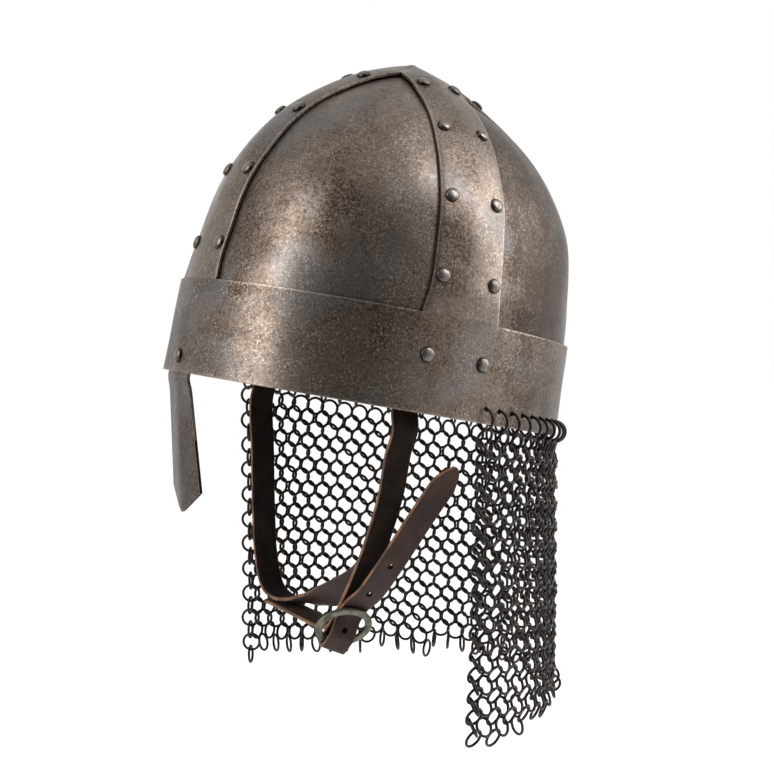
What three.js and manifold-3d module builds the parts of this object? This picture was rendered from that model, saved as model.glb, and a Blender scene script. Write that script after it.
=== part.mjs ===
// Spangenhelm helmet: a brow band, four frame strips (spangen), four segment plates riveted behind them,
// a keeled nasal guard, a mail curtain hung from the band by rings, and a fastened leather chin strap.
// Units are millimetres. +X is the wearer's left, -Y the face, +Z up. The origin is the centre of the rim,
// where a head goes in. The steel shell is tipped back about X; mail and straps hang straight down.
import * as THREE from 'three';
import { mergeVertices } from 'three/addons/utils/BufferGeometryUtils.js';
import Module from 'manifold-3d';

const wasm = await Module();
wasm.setup();

// Driving dimensions.
const TIP_BACK = THREE.MathUtils.degToRad(-11); // brow raised, nape lowered
const SHEET = 1.8; // thickness of band and strips
const PLATE = 1.5; // thickness of the segment plates
const GAP = 0.3; // clearance between pieces
const SEAT = 0.45; // clearance of the plates behind band and strips
const BAND_HEIGHT = 53.5;
const FRONT_POWER = 2.19; // plan curve of the brow half
const BACK_POWER = 1.79; // plan curve of the nape half
const RIDGE = 1.1; // height of the soft ridge along each strip
const APEX_SHIFT = -2;
const RIVET = { shank: 1.6, head: 4, rise: 1.9, hole: 2.4 };
const HANGER = { count: 34, height: 3.2, radius: 5.1, wire: 1.3, hole: 1.75, holeHeight: 8.2 };
const MAIL = {
  wall: 4, nearTurn: 100, farTurn: -73.5, top: -1.5, columns: 24, gapRows: 5, gapWidth: 15, gapHeight: 27,
};
const LEATHER = 2.2;
const STRAP_HALF = 7.9;
const STRAP_CLEAR = 2.3; // room between a strap's hidden end and the plate
const BUCKLE = { centre: [40, -30, -123.7], outer: [16.5, 13.3], inner: [12.4, 9], thick: 2.4 };

// Meridians of the outer surface: height above the rim, reach to the brow, to each side, to the nape.
const MERIDIAN = [
  { z: 0, front: 116, side: 105.4, back: 128 },
  { z: BAND_HEIGHT, front: 114.5, side: 104.1, back: 126.4 },
  { z: 74.4, front: 111.1, side: 104.1, back: 123 },
  { z: 118.4, front: 100.7, side: 95.3, back: 113.5 },
  { z: 158.3, front: 75.9, side: 70.6, back: 84.4 },
  { z: 186.2, front: 38.5, side: 35.2, back: 41.4 },
  { z: 202.5, front: 0, side: 0, back: 0 },
];
// Half width of a strip against the row number of the meridian table.
const STRIP_HALF = [
  { row: 1, half: 24.5 },
  { row: 1.4, half: 23.2 },
  { row: 2, half: 21.6 },
  { row: 3, half: 20.3 },
  { row: 4, half: 18.6 },
  { row: 5, half: 16.4 },
  { row: 6, half: 17 },
];
// Rivet rows: place along the meridian (a table row, or a share of the band), half spacing across the strip.
const RIVET_ROWS = [
  { level: 5, spacing: 10.2 },
  { level: 4, spacing: 12.3 },
  { level: 3, spacing: 14.2 },
  { level: 2, spacing: 16.2 },
  { level: 31.4 / BAND_HEIGHT, spacing: 17.8 },
];
const STRIP_ROWS = [1.6, 2.3, 2.7, 3.3, 3.7, 4.3, 4.7, 5.2];
const SIDES = [
  { name: 'front', turn: 0, rows: [0, 1, 2, 3] },
  { name: 'left', turn: Math.PI / 2, rows: [0, 1, 2, 3, 4] },
  { name: 'back', turn: Math.PI, rows: [0, 1, 2, 3, 4] },
  { name: 'right', turn: -Math.PI / 2, rows: [0, 1, 2, 3, 4] },
];

// Materials.
const steel = (color, roughness) => new THREE.MeshStandardMaterial({ color, roughness, metalness: 0.9 });
const BAND_STEEL = steel(0x6f655e, 0.5);
const STRIP_STEEL = steel(0x746a63, 0.5);
const PLATE_STEEL = steel(0x625954, 0.55);
const RIVET_STEEL = steel(0x4a433e, 0.45);
const MAIL_STEEL = steel(0x2e2a27, 0.6);
const PEWTER = steel(0x6f6b60, 0.45);
const HIDE = new THREE.MeshStandardMaterial({ color: 0x3a2e2c, roughness: 0.8, metalness: 0 });

// The outer surface of the shell.
const KEYS = ['z', 'front', 'side', 'back'];
function meridian(level) {
  const last = MERIDIAN.length - 1;
  const t = THREE.MathUtils.clamp(level, 0, last);
  const i = Math.min(Math.floor(t), last - 1);
  const h = t - i;
  const row = {};
  for (const key of KEYS) {
    const at = (k) => MERIDIAN[k][key];
    const slope = (k) => {
      if (i === 0) return at(1) - at(0);
      if (k === 1) return at(2) - at(1);
      if (k === last) return at(last) - at(last - 1);
      return (at(k + 1) - at(k - 1)) / 2;
    };
    const h2 = h * h;
    const h3 = h2 * h;
    row[key] = (2 * h3 - 3 * h2 + 1) * at(i) + (h3 - 2 * h2 + h) * slope(i)
      + (3 * h2 - 2 * h3) * at(i + 1) + (h3 - h2) * slope(i + 1);
  }
  return row;
}

// A point of the outer surface: turn is 0 at the brow and a quarter turn at the wearer's left.
function surface(turn, level) {
  const m = meridian(level);
  const c = Math.cos(turn);
  const s = Math.sin(turn);
  const blend = THREE.MathUtils.smoothstep(level, 1, 5);
  const power = THREE.MathUtils.lerp(c > 0 ? FRONT_POWER : BACK_POWER, 2, blend);
  const r = (Math.abs(c) ** power + Math.abs(s) ** power) ** (-1 / power);
  const reach = c > 0 ? m.front : m.back;
  return new THREE.Vector3(m.side * s * r, -reach * c * r + APEX_SHIFT * (level / 6) ** 4, m.z);
}

function normal(turn, level) {
  const step = 0.002;
  const low = level > 5.99 ? level - step : level;
  const across = surface(turn + step, low).sub(surface(turn - step, low));
  const up = surface(turn, low + step).sub(surface(turn, low));
  return across.cross(up).normalize();
}

const inside = (turn, level, depth) => surface(turn, level).addScaledVector(normal(turn, level), -depth);

// The turn at which the surface lies a given distance to one side of a strip's midline.
function turnAt(turn, level, offset) {
  const sideways = new THREE.Vector3(Math.cos(turn), Math.sin(turn), 0);
  let low = -Math.PI / 2;
  let high = Math.PI / 2;
  for (let i = 0; i < 40; i += 1) {
    const mid = (low + high) / 2;
    const p = surface(turn + mid, level);
    p.y -= APEX_SHIFT * (level / 6) ** 4;
    if (p.dot(sideways) < offset) low = mid;
    else high = mid;
  }
  return turn + (low + high) / 2;
}

// The turn of the mitre line between two strips: equal distances from both midlines.
function mitreTurn(turn, level, sign) {
  const ahead = new THREE.Vector3(Math.sin(turn), -Math.cos(turn), 0);
  const sideways = new THREE.Vector3(Math.cos(turn), Math.sin(turn), 0);
  let low = 0;
  let high = Math.PI / 2;
  for (let i = 0; i < 40; i += 1) {
    const mid = (low + high) / 2;
    const p = surface(turn + sign * mid, level);
    p.y -= APEX_SHIFT * (level / 6) ** 4;
    if (sign * p.dot(sideways) + GAP * 0.75 < p.dot(ahead)) low = mid;
    else high = mid;
  }
  return turn + sign * (low + high) / 2;
}

function stripHalf(level) {
  let i = 0;
  while (i < STRIP_HALF.length - 2 && level > STRIP_HALF[i + 1].row) i += 1;
  const a = STRIP_HALF[i];
  const b = STRIP_HALF[i + 1];
  return THREE.MathUtils.lerp(a.half, b.half, (level - a.row) / (b.row - a.row));
}

// Solids from grids and sweeps.
// A plate from a grid of outer points and the grid of inner points behind it.
function plate(outer, inner, closed = false) {
  const rows = outer.length;
  const columns = outer[0].length;
  const positions = [];
  for (const p of [outer, inner].flat(2)) positions.push(p.x, p.y, p.z);
  const at = (layer, i, j) => layer * rows * columns + i * columns + (j % columns);
  const index = [];
  const quad = (a, b, c, d) => index.push(a, b, c, a, c, d);
  const spans = closed ? columns : columns - 1;
  for (let i = 0; i < rows - 1; i += 1) {
    for (let j = 0; j < spans; j += 1) {
      quad(at(0, i, j), at(0, i, j + 1), at(0, i + 1, j + 1), at(0, i + 1, j));
      quad(at(1, i, j), at(1, i + 1, j), at(1, i + 1, j + 1), at(1, i, j + 1));
    }
  }
  for (let j = 0; j < spans; j += 1) {
    quad(at(1, 0, j), at(1, 0, j + 1), at(0, 0, j + 1), at(0, 0, j));
    quad(at(0, rows - 1, j), at(0, rows - 1, j + 1), at(1, rows - 1, j + 1), at(1, rows - 1, j));
  }
  if (!closed) {
    for (let i = 0; i < rows - 1; i += 1) {
      const end = columns - 1;
      quad(at(1, i, 0), at(0, i, 0), at(0, i + 1, 0), at(1, i + 1, 0));
      quad(at(0, i, end), at(1, i, end), at(1, i + 1, end), at(0, i + 1, end));
    }
  }
  const geometry = new THREE.BufferGeometry();
  geometry.setAttribute('position', new THREE.Float32BufferAttribute(positions, 3));
  geometry.setIndex(index);
  return geometry;
}

// A flat strap along stations, each with its middle, the direction of its width and half that width.
function strapSolid(stations, thick) {
  const outer = [];
  const inner = [];
  stations.forEach((station, i) => {
    const before = stations[Math.max(i - 1, 0)].middle;
    const after = stations[Math.min(i + 1, stations.length - 1)].middle;
    const along = after.clone().sub(before).normalize();
    const face = station.width.clone().cross(along).normalize();
    const width = along.clone().cross(face).normalize();
    const left = station.middle.clone().addScaledVector(width, -station.half);
    const right = station.middle.clone().addScaledVector(width, station.half);
    outer.push([left, right].map((p) => p.clone().addScaledVector(face, thick / 2)));
    inner.push([left, right].map((p) => p.clone().addScaledVector(face, -thick / 2)));
  });
  return plate(outer, inner);
}

function toManifold(geometry) {
  const bare = geometry.clone();
  bare.deleteAttribute('normal');
  bare.deleteAttribute('uv');
  const merged = mergeVertices(bare, 1e-4);
  return new wasm.Manifold(new wasm.Mesh({
    numProp: 3,
    vertProperties: new Float32Array(merged.attributes.position.array),
    triVerts: new Uint32Array(merged.index.array),
  }));
}

function fromManifold(solid) {
  const mesh = solid.getMesh();
  const geometry = new THREE.BufferGeometry();
  geometry.setAttribute('position', new THREE.BufferAttribute(new Float32Array(mesh.vertProperties), 3));
  geometry.setIndex(new THREE.BufferAttribute(new Uint32Array(mesh.triVerts), 1));
  return geometry;
}

function cut(geometry, cutters) {
  let solid = toManifold(geometry);
  for (const cutter of cutters) solid = solid.subtract(toManifold(cutter));
  return fromManifold(solid);
}

// A short prism through a sheet, centred on a point, along an axis.
function punch(point, axis, radius, length, sides = 5) {
  const geometry = new THREE.CylinderGeometry(radius, radius, length, sides);
  const turn = new THREE.Quaternion().setFromUnitVectors(new THREE.Vector3(0, 1, 0), axis);
  geometry.applyQuaternion(turn);
  return geometry.translate(point.x, point.y, point.z);
}

function named(name, geometry, material) {
  const mesh = new THREE.Mesh(geometry, material);
  mesh.name = name;
  return mesh;
}

// Assembly.
const group = new THREE.Group();
const shell = new THREE.Group();
shell.rotation.x = TIP_BACK;
group.add(shell);
const toWorld = (p) => p.clone().applyAxisAngle(new THREE.Vector3(1, 0, 0), TIP_BACK);

// Rivet places, with the surface normal at each.
const rivets = [];
for (const side of SIDES) {
  for (const number of side.rows) {
    const { level, spacing } = RIVET_ROWS[number];
    for (const hand of [-1, 1]) {
      const turn = turnAt(side.turn, level, hand * spacing);
      const point = surface(turn, level);
      const holdsStrap = number === 4 && Math.abs(Math.sin(side.turn)) > 0.5 && point.y < 0;
      rivets.push({
        name: `rivet_${side.name}_${number + 1}${hand < 0 ? 'a' : 'b'}`,
        point,
        axis: normal(turn, level),
        band: level < 1,
        side: side.name,
        reach: SHEET + SEAT + PLATE + (holdsStrap ? STRAP_CLEAR + LEATHER : 0) + 0.8,
      });
    }
  }
}
const nasalRivetLevel = 9 / BAND_HEIGHT;
rivets.push({
  name: 'rivet_nasal',
  point: surface(0, nasalRivetLevel),
  axis: normal(0, nasalRivetLevel),
  band: true,
  side: 'nasal',
  reach: SHEET + GAP + 2 + 0.8,
});
const rivetPunch = (rivet) => punch(rivet.point, rivet.axis, RIVET.hole, 20);

// Stations of the hanging rings round the nape, evenly spaced along the rim.
function rimStations(fromTurn, toTurn, count, level = 0) {
  const start = THREE.MathUtils.degToRad(fromTurn);
  const end = THREE.MathUtils.degToRad(toTurn + 360);
  const fine = 600;
  const turns = [start];
  const lengths = [0];
  for (let i = 1; i <= fine; i += 1) {
    const turn = THREE.MathUtils.lerp(start, end, i / fine);
    lengths.push(lengths[i - 1] + surface(turn, level).distanceTo(surface(turns[i - 1], level)));
    turns.push(turn);
  }
  const stations = [];
  let k = 0;
  for (let i = 0; i < count; i += 1) {
    const wanted = lengths[fine] * i / (count - 1);
    while (k < fine - 1 && lengths[k + 1] < wanted) k += 1;
    const share = (wanted - lengths[k]) / (lengths[k + 1] - lengths[k]);
    stations.push(THREE.MathUtils.lerp(turns[k], turns[k + 1], share));
  }
  return stations;
}
const hangerTurns = rimStations(MAIL.nearTurn + 1.5, MAIL.farTurn - 1.5, HANGER.count);

// Brow band: a hoop with rivet holes and the row of ring holes.
{
  const turns = [];
  const steps = 54;
  for (let j = 0; j < steps; j += 1) turns.push(2 * Math.PI * j / steps);
  const rows = [0, 1];
  const outer = rows.map((level) => turns.map((turn) => inside(turn, level * 0.9999, 0)));
  const inner = rows.map((level) => turns.map((turn) => inside(turn, level * 0.9999, SHEET)));
  const cutters = rivets.filter((rivet) => rivet.band).map(rivetPunch);
  for (const turn of hangerTurns) {
    const level = HANGER.holeHeight / BAND_HEIGHT;
    cutters.push(punch(surface(turn, level), normal(turn, level), HANGER.hole, 12));
  }
  shell.add(named('brow_band', cut(plate(outer, inner, true), cutters), BAND_STEEL));
}

// Strips from the band to mitres at the apex.
const foot = 1 + GAP / (MERIDIAN[2].z - BAND_HEIGHT);
const tipLevel = 5.94;
for (const side of SIDES) {
  const levels = [foot, ...STRIP_ROWS, 5.6, tipLevel];
  const grids = [0, SHEET].map((depth) => levels.map((level) => [-1, -0.5, 0, 0.5, 1].map((share) => {
    const half = stripHalf(level);
    const edge = [-1, 1].map((hand) => {
      const plain = turnAt(side.turn, level, hand * half);
      const mitre = mitreTurn(side.turn, level, hand);
      return hand < 0 ? Math.max(plain, mitre) : Math.min(plain, mitre);
    });
    const turn = THREE.MathUtils.lerp(edge[0], edge[1], (share + 1) / 2);
    const rise = share === 0 ? RIDGE * THREE.MathUtils.smoothstep(level, 0.8, 2.2) : 0;
    return inside(turn, level, depth - (level > 5.8 ? 0 : rise));
  })));
  const cutters = rivets.filter((rivet) => rivet.side === side.name && !rivet.band).map(rivetPunch);
  shell.add(named(`spangen_${side.name}`, cut(plate(grids[0], grids[1]), cutters), STRIP_STEEL));
}

// Segment plates behind the strips and the band.
for (const [front, flank] of [[0, 1], [0, 3], [2, 1], [2, 3]]) {
  const a = SIDES[front];
  const b = SIDES[flank];
  const tuck = 4;
  const levels = [0.35, 0.97, ...STRIP_ROWS, 5.65];
  const grids = [SHEET + SEAT, SHEET + SEAT + PLATE].map((depth) => levels.map((level) => {
    const lean = Math.sign(Math.sin(b.turn));
    const ahead = front === 0 ? lean : -lean;
    const from = turnAt(a.turn, level, ahead * tuck);
    let to = turnAt(b.turn, level, -ahead * tuck);
    if (ahead > 0 && to < from) to += 2 * Math.PI;
    if (ahead < 0 && to > from) to -= 2 * Math.PI;
    const low = Math.min(from, to);
    const high = Math.max(from, to);
    const columns = [];
    const spans = 6;
    const settle = 0.7 * THREE.MathUtils.smoothstep(level, 4, 5.2);
    for (let j = 0; j <= spans; j += 1) {
      columns.push(inside(THREE.MathUtils.lerp(low, high, j / spans), level, depth + settle));
    }
    return columns;
  }));
  const cutters = rivets.filter((rivet) => rivet.side === a.name || rivet.side === b.name).map(rivetPunch);
  shell.add(named(`plate_${a.name}_${b.name}`, cut(plate(grids[0], grids[1]), cutters), PLATE_STEEL));
}

// Rivets: domed heads outside, shanks through the sheets.
for (const rivet of rivets) {
  const { shank, head, rise } = RIVET;
  const profile = [
    [0, -rivet.reach],
    [shank, -rivet.reach],
    [shank, GAP],
    [head, GAP],
    [head * 0.78, GAP + rise * 0.75],
    [0, GAP + rise],
  ].map(([x, y]) => new THREE.Vector2(x, y));
  const mesh = named(rivet.name, cut(new THREE.LatheGeometry(profile, 6), []), RIVET_STEEL);
  mesh.quaternion.setFromUnitVectors(new THREE.Vector3(0, 1, 0), rivet.axis);
  mesh.position.copy(rivet.point);
  shell.add(mesh);
}

// Nasal guard: a keeled blade below the rim, with a tab behind the band.
// Columns: height, half width, front of the keel, sweep of the edges, back of the sheet, height there.
{
  const flush = -MERIDIAN[0].front;
  const behind = flush + SHEET + GAP;
  const blade = (z) => flush - z * 0.225;
  const rows = [
    { z: 16, half: 11, front: behind + 0.2, sweep: 0.6, back: 2, backZ: 16 },
    { z: -GAP, half: 11, front: behind, sweep: 0.6, back: 2, backZ: -2 },
    { z: -GAP - 0.05, half: 14.8, front: flush, sweep: 0.9, back: 4.3, backZ: -4 },
    { z: -12, half: 15.8, front: blade(-12), sweep: 2, back: 2.3, backZ: -12 },
    { z: -64.5, half: 20.8, front: blade(-64.5), sweep: 4.2, back: 2.3, backZ: -64.5 },
    { z: -78.7, half: 1.2, front: blade(-78.7), sweep: 0.3, back: 2.3, backZ: -78.7 },
  ].reverse();
  const side = (row, layer) => [-1, 0, 1].map((share) => new THREE.Vector3(
    share * row.half,
    row.front + (share ? row.sweep : 0) + (layer ? row.back : 0),
    layer ? row.backZ : row.z,
  ));
  const grids = [0, 1].map((layer) => rows.map((row) => side(row, layer)));
  const cutter = rivetPunch(rivets[rivets.length - 1]);
  shell.add(named('nasal_guard', cut(plate(grids[0], grids[1]), [cutter]), BAND_STEEL));
}

// Mail curtain: one wall, cut through like a coarse net, with the rings that hang it from the band.
{
  const floors = [
    { turn: 100, z: -188 },
    { turn: 130, z: -184 },
    { turn: 180, z: -180 },
    { turn: 230, z: -177 },
    { turn: 287, z: -175 },
  ];
  const floor = (degrees) => {
    let i = 0;
    while (i < floors.length - 2 && degrees > floors[i + 1].turn) i += 1;
    const share = (degrees - floors[i].turn) / (floors[i + 1].turn - floors[i].turn);
    return THREE.MathUtils.lerp(floors[i].z, floors[i + 1].z, share);
  };
  const outward = (turn) => {
    const p = normal(turn, 0);
    return new THREE.Vector3(p.x, p.y, 0).normalize();
  };
  const place = (turn, drop, depth) => {
    const spread = -THREE.MathUtils.degToRad(5) * drop * THREE.MathUtils.clamp((2.6 - turn) / 0.9, 0, 1);
    const hang = toWorld(surface(turn + spread, 0));
    const top = hang.z + MAIL.top;
    hang.z = THREE.MathUtils.lerp(top, floor(THREE.MathUtils.radToDeg(turn)), drop);
    return hang.addScaledVector(outward(turn), -0.6 - depth + MAIL.wall / 2);
  };
  const turns = rimStations(MAIL.nearTurn, MAIL.farTurn, 2 * MAIL.columns + 1);
  const posts = turns.filter((_, i) => i % 2 === 0);
  const sheet = (depth) => [1, 0].map((drop) => posts.map((turn) => place(turn, drop, depth)));
  let solid = toManifold(plate(sheet(0), sheet(MAIL.wall)));
  for (let row = 0; row < MAIL.gapRows; row += 1) {
    for (let column = row % 2; column < MAIL.columns; column += 2) {
      const turn = turns[2 * column + 1];
      const middle = place(turn, (row + 0.6) / (MAIL.gapRows + 0.2), MAIL.wall / 2);
      const axis = outward(turn);
      const diamond = new THREE.CylinderGeometry(1, 1, 16, 4);
      diamond.scale(MAIL.gapWidth / 2, 1, MAIL.gapHeight / 2);
      diamond.rotateZ(Math.atan2(-axis.x, axis.y));
      diamond.translate(middle.x, middle.y, middle.z);
      solid = solid.subtract(toManifold(diamond));
    }
  }
  for (const turn of hangerTurns) {
    const p = surface(turn, HANGER.height / BAND_HEIGHT);
    const n = normal(turn, 0);
    const out = new THREE.Vector3(n.x, n.y, 0).normalize();
    p.addScaledVector(out, -SHEET / 2);
    const ring = new THREE.TorusGeometry(HANGER.radius, HANGER.wire * 0.7, 3, 5);
    ring.rotateZ(Math.PI / 10);
    ring.rotateX(Math.PI / 2);
    ring.rotateZ(Math.atan2(out.y, out.x));
    ring.translate(p.x, p.y, p.z);
    ring.applyMatrix4(new THREE.Matrix4().makeRotationX(TIP_BACK));
    solid = solid.add(toManifold(ring));
  }
  group.add(named('mail_aventail', fromManifold(solid), MAIL_STEEL));
}

// Buckle: an oval frame, its face turned outwards.
const ringFace = new THREE.Vector3(0.867, -0.206, -0.454).normalize();
const ringLong = new THREE.Vector3(0.23, 0.97, 0.05).projectOnPlane(ringFace).normalize();
const ringUp = ringFace.clone().cross(ringLong).normalize();
const ringMiddle = new THREE.Vector3(...BUCKLE.centre);
const onRing = (long, up, out) => ringMiddle.clone()
  .addScaledVector(ringLong, long).addScaledVector(ringUp, up).addScaledVector(ringFace, out);
// A place on the strap where it threads the frame: along the strap, and out from the frame's middle plane.
const onStrap = (along, out) => onRing(0.459 * along + 0.8, 0.888 * along - 0.4, out);
{
  const shape = new THREE.Shape().absellipse(0, 0, BUCKLE.outer[0], BUCKLE.outer[1], 0, 2 * Math.PI);
  shape.holes.push(new THREE.Path().absellipse(0, 0, BUCKLE.inner[0], BUCKLE.inner[1], 0, 2 * Math.PI));
  const solid = { depth: BUCKLE.thick, bevelEnabled: false, curveSegments: 14 };
  const geometry = new THREE.ExtrudeGeometry(shape, solid);
  geometry.translate(0, 0, -BUCKLE.thick / 2);
  geometry.applyMatrix4(new THREE.Matrix4().makeBasis(ringLong, ringUp, ringFace));
  geometry.translate(...BUCKLE.centre);
  group.add(named('buckle', geometry, PEWTER));
}

// Straps: stations through control points, each point with its width direction.
function strapStations(points, steps, halfAt) {
  const path = new THREE.CatmullRomCurve3(points.map((p) => p.at), false, 'centripetal');
  const widths = new THREE.CatmullRomCurve3(points.map((p) => p.width), false, 'centripetal');
  const stations = [];
  const count = (points.length - 1) * steps;
  for (let i = 0; i <= count; i += 1) {
    const t = i / count;
    const position = t * (points.length - 1);
    const k = Math.min(Math.floor(position), points.length - 2);
    const width = points[k].width.clone().lerp(points[k + 1].width, position - k).normalize();
    stations.push({ middle: path.getPoint(t), width, half: halfAt(position) });
  }
  return stations;
}
const V = (x, y, z) => new THREE.Vector3(x, y, z);
const across = V(0, 1, 0);

// The hidden end of a strap lies inside the plate and the band.
function hiddenEnd(hand, rimY, rivetY) {
  return [41, 31.4, 20, 9, 0].map((z) => {
    const clearOfRings = 1.5 * THREE.MathUtils.smoothstep(-z, -20, -9);
    const depth = SHEET + SEAT + PLATE + STRAP_CLEAR + LEATHER / 2 + clearOfRings;
    const level = z / BAND_HEIGHT;
    const y = THREE.MathUtils.lerp(rimY, rivetY, z / 31.4);
    const turn = turnAt(hand * Math.PI / 2, level, hand * y);
    return { at: toWorld(inside(turn, level, depth)), width: across };
  });
}
const strapRivets = rivets.filter((rivet) => rivet.band && rivet.reach > 6);

// Left strap: down to the buckle, round its lower bar and up again as the punched, pointed tail.
{
  const slant = V(0.004, 0.912, -0.406);
  const points = [
    ...hiddenEnd(1, -22.2, -17.8),
    { at: V(97.5, -21.6, -6), width: across },
    { at: V(90, -21.9, -20.1), width: across },
    { at: V(80, -20.9, -43.1), width: across },
    { at: V(66, -21.7, -69.9), width: across },
    { at: V(51, -22.2, -92), width: across },
    { at: onStrap(6, -6.4), width: V(0, 1, -0.1) },
    { at: onStrap(-2, -5), width: V(0, 0.97, -0.25) },
    { at: onStrap(-8, -3.7), width: slant },
    { at: onStrap(-13.6, -3), width: slant },
    { at: onStrap(-15.7, -2.1), width: slant },
    { at: onStrap(-16.6, 0), width: slant },
    { at: onStrap(-15.7, 2.1), width: slant },
    { at: onStrap(-13.6, 3), width: slant },
    { at: onStrap(-8.5, 3.2), width: slant },
    { at: onStrap(-5, 3), width: slant },
    { at: onStrap(-1.5, 1), width: slant },
    { at: onStrap(2.5, -1.5), width: slant },
    { at: onStrap(6, -2.9), width: slant },
    { at: onStrap(14.5, -2.8), width: slant },
    { at: V(53.5, -20.8, -103.8), width: slant },
    { at: V(69, -15.4, -84.8), width: slant },
    { at: V(84, -3.5, -56), width: slant },
    { at: V(93, 4.5, -38.5), width: slant },
    { at: V(96, 8.6, -31.6), width: slant },
    { at: V(97, 10.1, -28.3), width: slant },
  ];
  const last = points.length - 1;
  const half = (position) => {
    if (position > last - 1) return THREE.MathUtils.lerp(4.6, 1.4, position - last + 1);
    if (position > last - 2) return THREE.MathUtils.lerp(STRAP_HALF, 4.6, position - last + 2);
    return STRAP_HALF;
  };
  const geometry = strapSolid(strapStations(points, 1, half), LEATHER);
  const holes = [V(55, -21.4, -103.3), V(68.8, -15.5, -85)];
  const face = V(0.867, -0.206, -0.454).normalize();
  const cutters = holes.map((p) => punch(p, face, 1.9, 9));
  cutters.push(punch(onStrap(-1.2, 0.5), face, 1.9, 5));
  for (const rivet of strapRivets.filter((r) => r.side === 'left')) {
    cutters.push(punch(toWorld(rivet.point), toWorld(rivet.axis), RIVET.hole, 20));
  }
  group.add(named('strap_left', cut(geometry, cutters), HIDE));
}

// Right strap: down, under the chin, up behind the left strap, then doubled back behind the buckle.
{
  const lean = V(0.35, 0.4, -0.85);
  const points = [
    ...hiddenEnd(-1, -20.4, -17.8),
    { at: V(-97.6, -20.5, -6), width: across },
    { at: V(-97.6, -19.9, -38), width: across },
    { at: V(-97.6, -19.3, -80), width: across },
    { at: V(-95, -19, -106), width: across },
    { at: V(-86.5, -18.6, -123.5), width: across },
    { at: V(-70.2, -18.2, -128.3), width: V(0.02, 1, -0.04) },
    { at: V(-53.2, -18, -127), width: V(0.06, 0.98, -0.12) },
    { at: V(-29.5, -17.4, -122.6), width: V(0.15, 0.85, -0.4) },
    { at: V(8.4, -18.6, -110.4), width: lean },
    { at: V(28.5, -15, -99.8), width: lean },
    { at: V(36, -13.8, -94.2), width: V(0.3, 0.6, -0.7) },
    { at: V(40, -14.5, -92), width: V(0.2, 0.8, -0.5) },
    { at: V(41.2, -16, -94.5), width: V(0.1, 0.9, -0.3) },
    { at: V(38.4, -17.8, -99), width: across },
    { at: V(29, -20.5, -115), width: across },
    { at: V(20, -21, -125.5), width: across },
    { at: V(8, -20.6, -131), width: across },
    { at: V(-7, -20, -132.2), width: across },
    { at: V(-50, -20, -131.6), width: across },
    { at: V(-78, -20, -131.4), width: across },
  ];
  const geometry = strapSolid(strapStations(points, 2, () => STRAP_HALF), LEATHER);
  const cutters = strapRivets.filter((r) => r.side === 'right')
    .map((rivet) => punch(toWorld(rivet.point), toWorld(rivet.axis), RIVET.hole, 20));
  group.add(named('strap_right', cut(geometry, cutters), HIDE));
}

export default group;
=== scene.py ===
"""Spangenhelm helmet: the finely detailed model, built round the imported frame.

Lengths are millimetres until a mesh is made. +X is the wearer's left, -Y the face, +Z up. A "turn" is the
angle round the helmet, 0 at the brow and a quarter turn at the wearer's left. A "level" is a height on the
dome: 0 at the rim, 1 at the top of the brow band, then one for each row of the meridian table.
"""

import math

import bpy
import numpy as np
from mathutils import Matrix, Vector


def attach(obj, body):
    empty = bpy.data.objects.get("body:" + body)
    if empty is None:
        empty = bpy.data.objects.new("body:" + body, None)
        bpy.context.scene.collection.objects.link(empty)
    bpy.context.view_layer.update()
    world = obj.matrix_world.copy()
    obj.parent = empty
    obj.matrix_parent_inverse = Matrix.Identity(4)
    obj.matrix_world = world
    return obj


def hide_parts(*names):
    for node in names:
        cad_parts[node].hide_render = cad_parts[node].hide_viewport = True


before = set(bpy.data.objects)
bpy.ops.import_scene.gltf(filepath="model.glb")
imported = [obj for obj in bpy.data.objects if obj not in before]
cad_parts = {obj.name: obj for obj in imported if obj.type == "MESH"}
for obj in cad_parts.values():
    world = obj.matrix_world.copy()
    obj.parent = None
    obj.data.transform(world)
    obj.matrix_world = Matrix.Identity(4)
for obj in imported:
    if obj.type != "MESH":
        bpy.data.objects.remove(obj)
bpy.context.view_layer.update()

MM = 0.001
# UV maps hold millimetres times this.
UV_SCALE = 0.01

# Driving dimensions, the same as the frame's.
TIP_BACK = math.radians(-11)
SHEET = 1.8
PLATE = 1.5
SEAT = 0.45
BAND_HEIGHT = 53.5
FRONT_POWER = 2.19
BACK_POWER = 1.79
RIDGE = 1.3
APEX_SHIFT = -2
LEATHER = 2.2
STRAP_HALF = 7.9
STRAP_CLEAR = 2.3

# Height above the rim, reach to the brow, to each side and to the nape.
MERIDIAN = np.array([
    (0, 116, 105.4, 128),
    (BAND_HEIGHT, 114.5, 104.1, 126.4),
    (74.4, 111.1, 104.1, 123),
    (118.4, 100.7, 95.3, 113.5),
    (158.3, 75.9, 70.6, 84.4),
    (186.2, 38.5, 35.2, 41.4),
    (202.5, 0, 0, 0),
])
TOP_LEVEL = len(MERIDIAN) - 1
STRIP_LEVELS = (1, 1.4, 2, 3, 4, 5, 6)
STRIP_HALVES = (24.5, 23.2, 21.6, 20.3, 18.6, 16.4, 17)
# Level and half spacing of each rivet row.
RIVET_ROWS = ((5, 10.2), (4, 12.3), (3, 14.2), (2, 16.2), (31.4 / BAND_HEIGHT, 17.8))
SIDES = (
    ("front", 0, 4),
    ("left", math.pi / 2, 5),
    ("back", math.pi, 5),
    ("right", -math.pi / 2, 5),
)
RING_HOLE_HEIGHT = 8.2
HANGERS = 34
HOLE_RADIUS = 1.75


# Small helpers for numbers.
def lerp(a, b, share):
    return a + (b - a) * share


def smoothstep(x, low, high):
    t = np.clip((np.asarray(x, float) - low) / (high - low), 0, 1)
    return t * t * (3 - 2 * t)


def unit(v):
    return v / np.linalg.norm(v, axis=-1, keepdims=True)


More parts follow.
